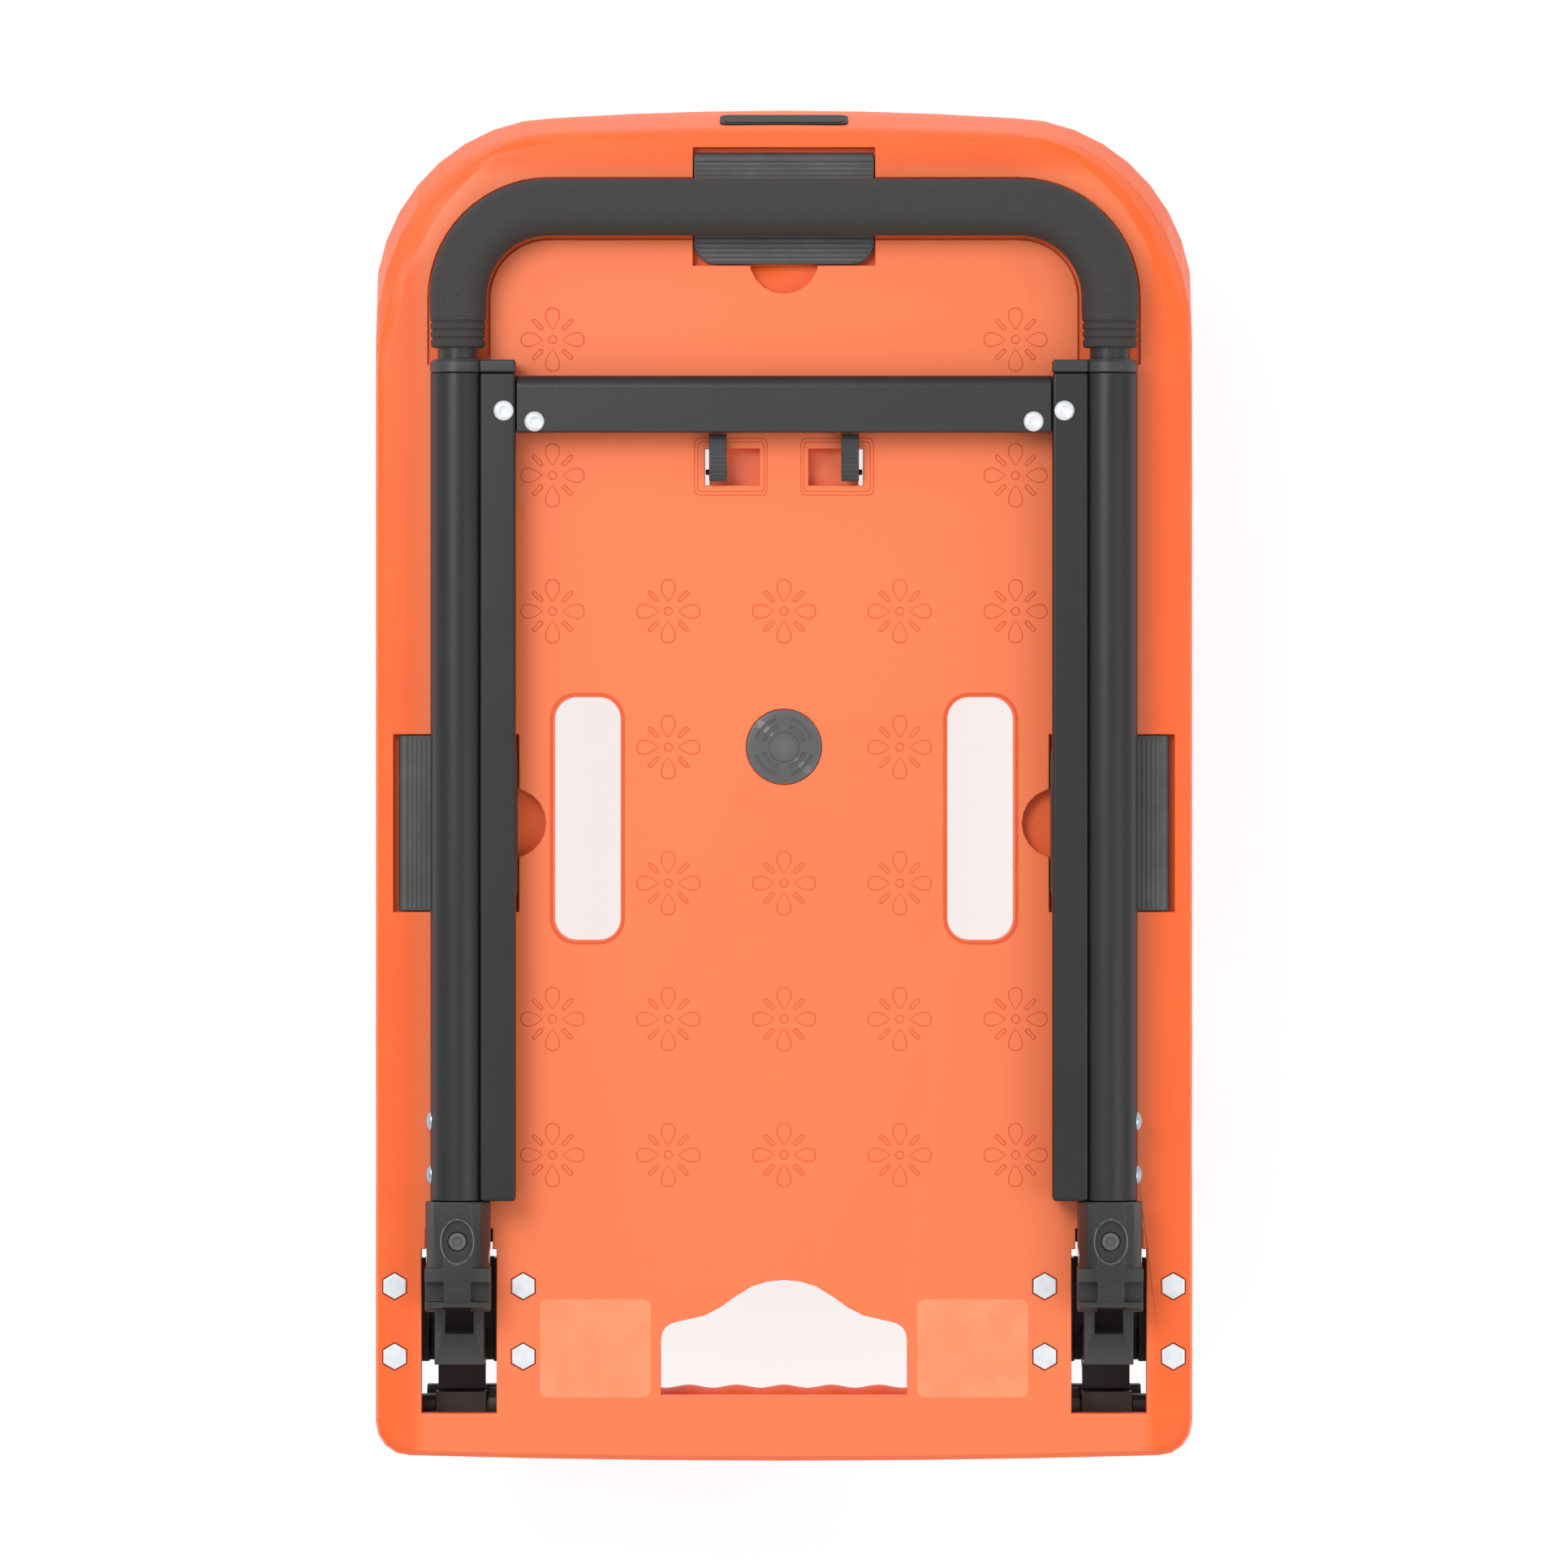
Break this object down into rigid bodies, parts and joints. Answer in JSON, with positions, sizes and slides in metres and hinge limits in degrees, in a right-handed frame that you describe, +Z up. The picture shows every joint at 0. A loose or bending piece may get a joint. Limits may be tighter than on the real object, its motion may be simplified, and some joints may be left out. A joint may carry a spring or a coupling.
{
  "type": "folding platform cart",
  "caption": "Flat folding hand truck: moulded deck with telescopic fold-down handle, fold-away castors on hinged side beams, lift-up stop flaps and a squeeze release bar.",
  "frame": {"origin": "middle of the footprint at the level of the lowest face, which is the underside of the hinge brackets", "axes": "+Z up out of the load face, +Y towards the front end away from the handle hinge, +X to the right seen from above with the front end ahead"},
  "size_m": [0.448, 0.7399, 0.103],
  "materials": {
    "orange_plastic": "fine moulded grain, satin",
    "black_plastic": "satin moulded",
    "black_steel": "satin powder coat",
    "foam": "matt closed-cell foam",
    "tyre": "matt rubber",
    "zinc_steel": "zinc plated"
  },
  "bodies": {
    "root": {"deck_shell": "orange_plastic", "centre_cap": "black_plastic", "frame_rail": "black_steel", "hinge_bracket_left": "black_steel", "hinge_pin_left": "zinc_steel", "side_cover_left": "black_plastic", "hinge_bracket_right": "black_steel", "hinge_pin_right": "zinc_steel", "side_cover_right": "black_plastic"},
    "handle_lower": {"crossbar": "black_steel", "outer_tube_left": "black_steel", "tube_collar_left": "black_plastic", "knuckle_left": "black_plastic", "outer_tube_right": "black_steel", "tube_collar_right": "black_plastic", "knuckle_right": "black_plastic"},
    "handle_upper": {"upper_tube": "black_steel", "foam_grip": "foam"},
    "release": {"release_bar": "black_steel", "release_grip": "orange_plastic", "lock_slide_left": "black_plastic", "pull_wire_left": "zinc_steel", "beam_dog_left": "black_plastic", "lock_slide_right": "black_plastic", "pull_wire_right": "zinc_steel", "beam_dog_right": "black_plastic"},
    "front_flap": {"front_flap": "black_plastic"},
    "beam_left": {"front_housing_left": "black_plastic", "rear_housing_left": "black_plastic", "link_bar_left": "black_steel", "front_mount_left": "black_steel", "rear_mount_left": "black_steel", "front_fork_left": "black_plastic", "front_axle_left": "zinc_steel"},
    "rear_castor_left": {"rear_fork_left": "black_plastic", "rear_axle_left": "zinc_steel"},
    "front_wheel_left": {"front_hub_left": "orange_plastic", "front_tyre_left": "tyre"},
    "rear_wheel_left": {"rear_hub_left": "orange_plastic", "rear_tyre_left": "tyre"},
    "lock_button_left": {"lock_button_left": "black_plastic"},
    "stow_latch_left": {"stow_latch_left": "black_plastic"},
    "side_flap_left": {"side_flap_left": "black_plastic"},
    "beam_right": {"front_housing_right": "black_plastic", "rear_housing_right": "black_plastic", "link_bar_right": "black_steel", "front_mount_right": "black_steel", "rear_mount_right": "black_steel", "front_fork_right": "black_plastic", "front_axle_right": "zinc_steel"},
    "rear_castor_right": {"rear_fork_right": "black_plastic", "rear_axle_right": "zinc_steel"},
    "front_wheel_right": {"front_hub_right": "orange_plastic", "front_tyre_right": "tyre"},
    "rear_wheel_right": {"rear_hub_right": "orange_plastic", "rear_tyre_right": "tyre"},
    "lock_button_right": {"lock_button_right": "black_plastic"},
    "stow_latch_right": {"stow_latch_right": "black_plastic"},
    "side_flap_right": {"side_flap_right": "black_plastic"}
  },
  "joints": [
    {"name": "handle_fold", "type": "hinge", "parent": "root", "child": "handle_lower", "pos_m": [0, -0.2564, 0.0855], "axis": [1, 0, 0], "range_deg": [0, 90]},
    {"name": "handle_extend", "type": "slide", "parent": "handle_lower", "child": "handle_upper", "axis": [0, 1, 0], "range_m": [0, 0.3]},
    {"name": "release_pull", "type": "slide", "parent": "root", "child": "release", "axis": [0, -1, 0], "range_m": [0, 0.008], "stiffness_N_per_m": 600},
    {"name": "front_flap_lift", "type": "hinge", "parent": "root", "child": "front_flap", "pos_m": [0, 0.34, 0.0672], "axis": [-1, 0, 0], "range_deg": [0, 90]},
    {"name": "wheel_fold_left", "type": "hinge", "parent": "root", "child": "beam_left", "pos_m": [-0.177, 0, 0.04], "axis": [0, 1, 0], "range_deg": [0, 90]},
    {"name": "rear_swivel_left", "type": "hinge", "parent": "beam_left", "child": "rear_castor_left", "pos_m": [-0.177, -0.206, 0.04], "axis": [-1, 0, 0], "range_deg": [0, 150]},
    {"name": "front_wheel_spin_left", "type": "hinge", "parent": "beam_left", "child": "front_wheel_left", "pos_m": [-0.0565, 0.2447, 0.04], "axis": [0, 0, 1], "continuous": true},
    {"name": "rear_wheel_spin_left", "type": "hinge", "parent": "rear_castor_left", "child": "rear_wheel_left", "pos_m": [-0.0565, -0.1738, 0.04], "axis": [0, 0, 1], "continuous": true},
    {"name": "lock_button_press_left", "type": "slide", "parent": "handle_lower", "child": "lock_button_left", "axis": [0, 0, -1], "range_m": [0, 0.002], "stiffness_N_per_m": 800},
    {"name": "stow_latch_open_left", "type": "hinge", "parent": "root", "child": "stow_latch_left", "pos_m": [-0.036, 0.17, 0.063], "axis": [1, 0, 0], "range_deg": [0, 15], "stiffness_Nm_per_rad": 0.4},
    {"name": "side_flap_lift_left", "type": "hinge", "parent": "root", "child": "side_flap_left", "pos_m": [-0.206, -0.0213, 0.0672], "axis": [0, -1, 0], "range_deg": [0, 90]},
    {"name": "wheel_fold_right", "type": "hinge", "parent": "root", "child": "beam_right", "pos_m": [0.177, 0, 0.04], "axis": [0, -1, 0], "range_deg": [0, 90]},
    {"name": "rear_swivel_right", "type": "hinge", "parent": "beam_right", "child": "rear_castor_right", "pos_m": [0.177, -0.206, 0.04], "axis": [-1, 0, 0], "range_deg": [0, 150]},
    {"name": "front_wheel_spin_right", "type": "hinge", "parent": "beam_right", "child": "front_wheel_right", "pos_m": [0.0565, 0.2447, 0.04], "axis": [0, 0, 1], "continuous": true},
    {"name": "rear_wheel_spin_right", "type": "hinge", "parent": "rear_castor_right", "child": "rear_wheel_right", "pos_m": [0.0565, -0.1738, 0.04], "axis": [0, 0, 1], "continuous": true},
    {"name": "lock_button_press_right", "type": "slide", "parent": "handle_lower", "child": "lock_button_right", "axis": [0, 0, -1], "range_m": [0, 0.002], "stiffness_N_per_m": 800},
    {"name": "stow_latch_open_right", "type": "hinge", "parent": "root", "child": "stow_latch_right", "pos_m": [0.036, 0.17, 0.063], "axis": [1, 0, 0], "range_deg": [0, 15], "stiffness_Nm_per_rad": 0.4},
    {"name": "side_flap_lift_right", "type": "hinge", "parent": "root", "child": "side_flap_right", "pos_m": [0.206, -0.0213, 0.0672], "axis": [0, 1, 0], "range_deg": [0, 90]}
  ],
  "couplings": [
    {"joint": "front_flap_lift", "follows": "handle_fold", "ratio": 1},
    {"joint": "wheel_fold_left", "follows": "handle_fold", "ratio": 1},
    {"joint": "side_flap_lift_left", "follows": "handle_fold", "ratio": 1},
    {"joint": "wheel_fold_right", "follows": "handle_fold", "ratio": 1},
    {"joint": "side_flap_lift_right", "follows": "handle_fold", "ratio": 1}
  ]
}
